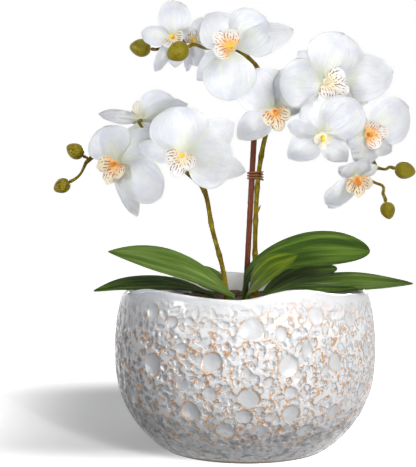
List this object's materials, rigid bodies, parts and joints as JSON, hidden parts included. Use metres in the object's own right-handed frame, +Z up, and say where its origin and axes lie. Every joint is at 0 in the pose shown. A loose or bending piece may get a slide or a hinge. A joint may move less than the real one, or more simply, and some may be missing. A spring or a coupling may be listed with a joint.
{
  "type": "ceramic orchid pot",
  "caption": "Round glazed ceramic pot with a cratered wall and a wavy rim, holding an artificial white moth orchid on a foam block.",
  "frame": {"origin": "centre of the flat foot that the pot stands on", "axes": "+Z up out of the pot, -Y towards the front that the picture shows, +X to the right of that front"},
  "size_m": [0.2939, 0.214, 0.3626],
  "materials": {
    "glazed_stoneware": "gloss",
    "foam": "matte",
    "bark": "matte",
    "stem_plastic": "satin",
    "stake_plastic": "satin",
    "tie_plastic": "satin",
    "leaf_fabric": "satin",
    "bud_plastic": "satin",
    "petal_fabric": "matte",
    "lip_fabric": "matte"
  },
  "bodies": {
    "pot": {"pot": "glazed_stoneware"},
    "planting": {"foam_block": "foam", "bark_filler": "bark", "flower_spike_left": "stem_plastic", "flower_spike_right": "stem_plastic", "support_stake": "stake_plastic", "stake_tie": "tie_plastic", "leaf_left_upper": "leaf_fabric", "leaf_left_lower": "leaf_fabric", "leaf_left_back": "leaf_fabric", "leaf_right_large": "leaf_fabric", "leaf_right_front": "leaf_fabric", "leaf_right_back": "leaf_fabric", "leaf_right_long": "leaf_fabric", "leaf_right_short": "leaf_fabric", "bud_1": "bud_plastic", "bud_2": "bud_plastic", "bud_3": "bud_plastic", "bud_4": "bud_plastic", "bud_5": "bud_plastic", "bud_6": "bud_plastic"},
    "bloom_a": {"bloom_a_sepals": "petal_fabric", "bloom_a_petals": "petal_fabric", "bloom_a_lip": "lip_fabric"},
    "bloom_b": {"bloom_b_sepals": "petal_fabric", "bloom_b_petals": "petal_fabric", "bloom_b_lip": "lip_fabric"},
    "bloom_c": {"bloom_c_sepals": "petal_fabric", "bloom_c_petals": "petal_fabric", "bloom_c_lip": "lip_fabric"},
    "bloom_d": {"bloom_d_sepals": "petal_fabric", "bloom_d_petals": "petal_fabric", "bloom_d_lip": "lip_fabric"},
    "bloom_e": {"bloom_e_sepals": "petal_fabric", "bloom_e_petals": "petal_fabric", "bloom_e_lip": "lip_fabric"},
    "bloom_f": {"bloom_f_sepals": "petal_fabric", "bloom_f_petals": "petal_fabric", "bloom_f_lip": "lip_fabric"},
    "bloom_g": {"bloom_g_sepals": "petal_fabric", "bloom_g_petals": "petal_fabric", "bloom_g_lip": "lip_fabric"},
    "bloom_h": {"bloom_h_sepals": "petal_fabric", "bloom_h_petals": "petal_fabric", "bloom_h_lip": "lip_fabric"},
    "bloom_i": {"bloom_i_sepals": "petal_fabric", "bloom_i_petals": "petal_fabric", "bloom_i_lip": "lip_fabric"},
    "bloom_j": {"bloom_j_sepals": "petal_fabric", "bloom_j_petals": "petal_fabric", "bloom_j_lip": "lip_fabric"},
    "bloom_k": {"bloom_k_sepals": "petal_fabric", "bloom_k_petals": "petal_fabric", "bloom_k_lip": "lip_fabric"}
  },
  "joints": [
    {"name": "planting_lift", "type": "slide", "parent": "pot", "child": "planting", "axis": [0, 0, 1], "range_m": [0, 0.15]},
    {"name": "bloom_a_turn", "type": "hinge", "parent": "planting", "child": "bloom_a", "pos_m": [-0.104, -0.008, 0.2325], "axis": [-0.4028, -0.9047, -0.1392], "range_deg": [-15, 15]},
    {"name": "bloom_b_turn", "type": "hinge", "parent": "planting", "child": "bloom_b", "pos_m": [-0.0495, -0.046, 0.2385], "axis": [-0.1734, -0.9835, -0.0523], "range_deg": [-15, 15]},
    {"name": "bloom_c_turn", "type": "hinge", "parent": "planting", "child": "bloom_c", "pos_m": [-0.086, 0.018, 0.268], "axis": [0.1361, 0.9686, 0.2079], "range_deg": [-15, 15]},
    {"name": "bloom_d_turn", "type": "hinge", "parent": "planting", "child": "bloom_d", "pos_m": [-0.0575, -0.014, 0.3325], "axis": [-0.2074, -0.9758, 0.0698], "range_deg": [-15, 15]},
    {"name": "bloom_e_turn", "type": "hinge", "parent": "planting", "child": "bloom_e", "pos_m": [-0.0117, -0.044, 0.3215], "axis": [-0.2068, -0.9728, 0.1045], "range_deg": [-15, 15]},
    {"name": "bloom_f_turn", "type": "hinge", "parent": "planting", "child": "bloom_f", "pos_m": [0.0225, -0.022, 0.2745], "axis": [0.0829, -0.9474, -0.309], "range_deg": [-15, 15]},
    {"name": "bloom_g_turn", "type": "hinge", "parent": "planting", "child": "bloom_g", "pos_m": [0.062, -0.04, 0.2955], "axis": [0.1564, -0.9877, 0], "range_deg": [-15, 15]},
    {"name": "bloom_h_turn", "type": "hinge", "parent": "planting", "child": "bloom_h", "pos_m": [0.058, -0.058, 0.254], "axis": [-0.0647, -0.9249, -0.3746], "range_deg": [-15, 15]},
    {"name": "bloom_i_turn", "type": "hinge", "parent": "planting", "child": "bloom_i", "pos_m": [0.094, -0.0405, 0.255], "axis": [0.2413, -0.9679, -0.0698], "range_deg": [-6, 15]},
    {"name": "bloom_j_turn", "type": "hinge", "parent": "planting", "child": "bloom_j", "pos_m": [0.0855, -0.045, 0.222], "axis": [0.1422, -0.8067, -0.5736], "range_deg": [-15, 15]},
    {"name": "bloom_k_turn", "type": "hinge", "parent": "planting", "child": "bloom_k", "pos_m": [-0.0435, 0.002, 0.3315], "axis": [0.1736, -0.9848, 0], "range_deg": [-15, 12]}
  ]
}
